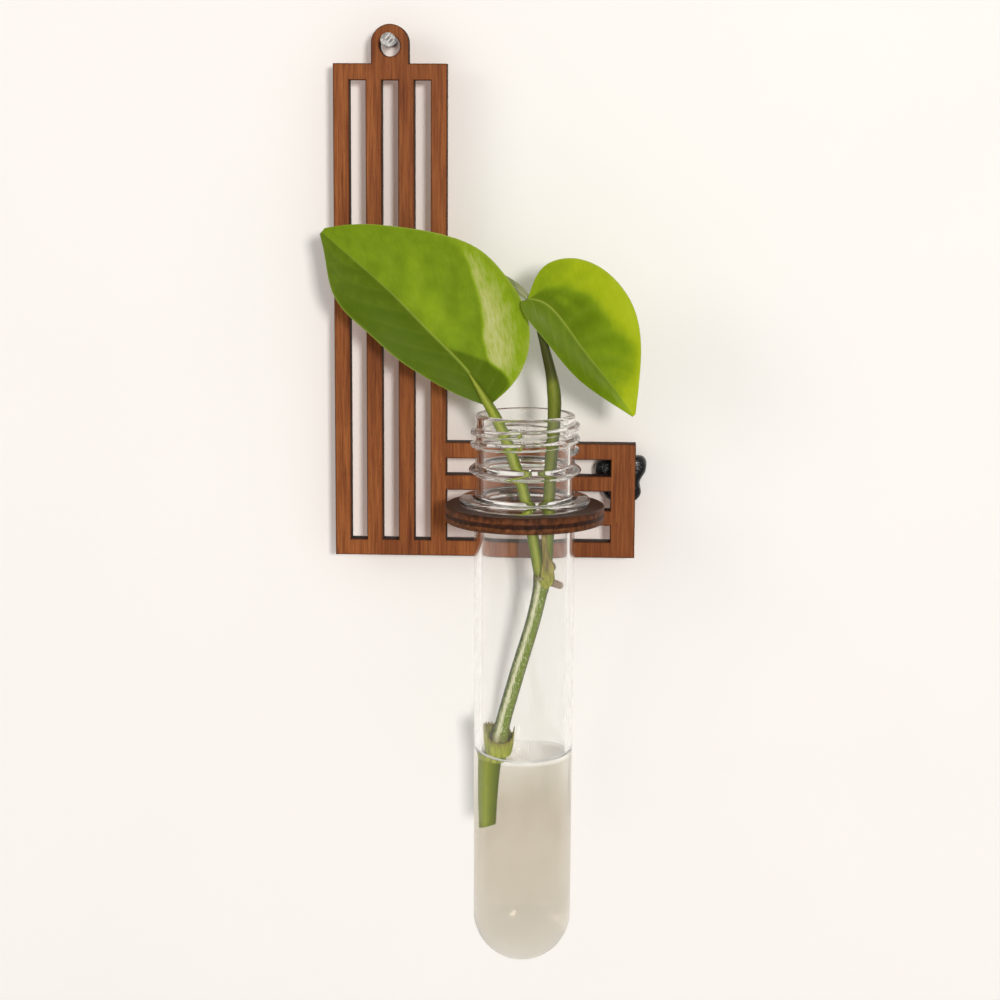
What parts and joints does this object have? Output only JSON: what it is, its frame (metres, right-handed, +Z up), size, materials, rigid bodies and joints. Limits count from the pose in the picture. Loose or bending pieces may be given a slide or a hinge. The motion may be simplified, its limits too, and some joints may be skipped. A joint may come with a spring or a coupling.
{
  "type": "propagation vase",
  "caption": "Wall-hung propagation vase: a slotted L-shaped plywood bracket on a nail carries a plywood ring, in which a clear screw-neck tube with a leafy cutting hangs.",
  "frame": {"origin": "on the nail's axis, at the wall plane", "axes": "+Z up, +Y into the wall along the nail, +X to the viewer's right"},
  "size_m": [0.0833, 0.0671, 0.2388],
  "materials": {
    "stained_plywood": "satin",
    "ring_plywood": "satin",
    "zinc_steel": "satin",
    "black_putty": "gloss",
    "clear_pet": "gloss",
    "green_stem": "satin",
    "dry_sheath": "matte",
    "leaf_blade": "satin"
  },
  "bodies": {
    "bracket": {"wall_nail": "zinc_steel", "wall_panel": "stained_plywood", "putty_lump": "black_putty"},
    "ring": {"holder_ring": "ring_plywood"},
    "tube": {"test_tube": "clear_pet"},
    "cutting": {"stem_upper": "green_stem", "stem_lower": "green_stem", "node_sheath": "dry_sheath", "aerial_root": "dry_sheath", "petiole_left": "green_stem", "petiole_right": "green_stem", "leaf_left": "leaf_blade", "leaf_right": "leaf_blade"}
  },
  "joints": [
    {"name": "ring_pull", "type": "slide", "parent": "bracket", "child": "ring", "axis": [0, -1, 0], "range_m": [0, 0.03]},
    {"name": "tube_lift", "type": "slide", "parent": "ring", "child": "tube", "axis": [0, 0, 1], "range_m": [0, 0.125]},
    {"name": "cutting_lift", "type": "slide", "parent": "tube", "child": "cutting", "axis": [0, 0, 1], "range_m": [0, 0.115]}
  ]
}
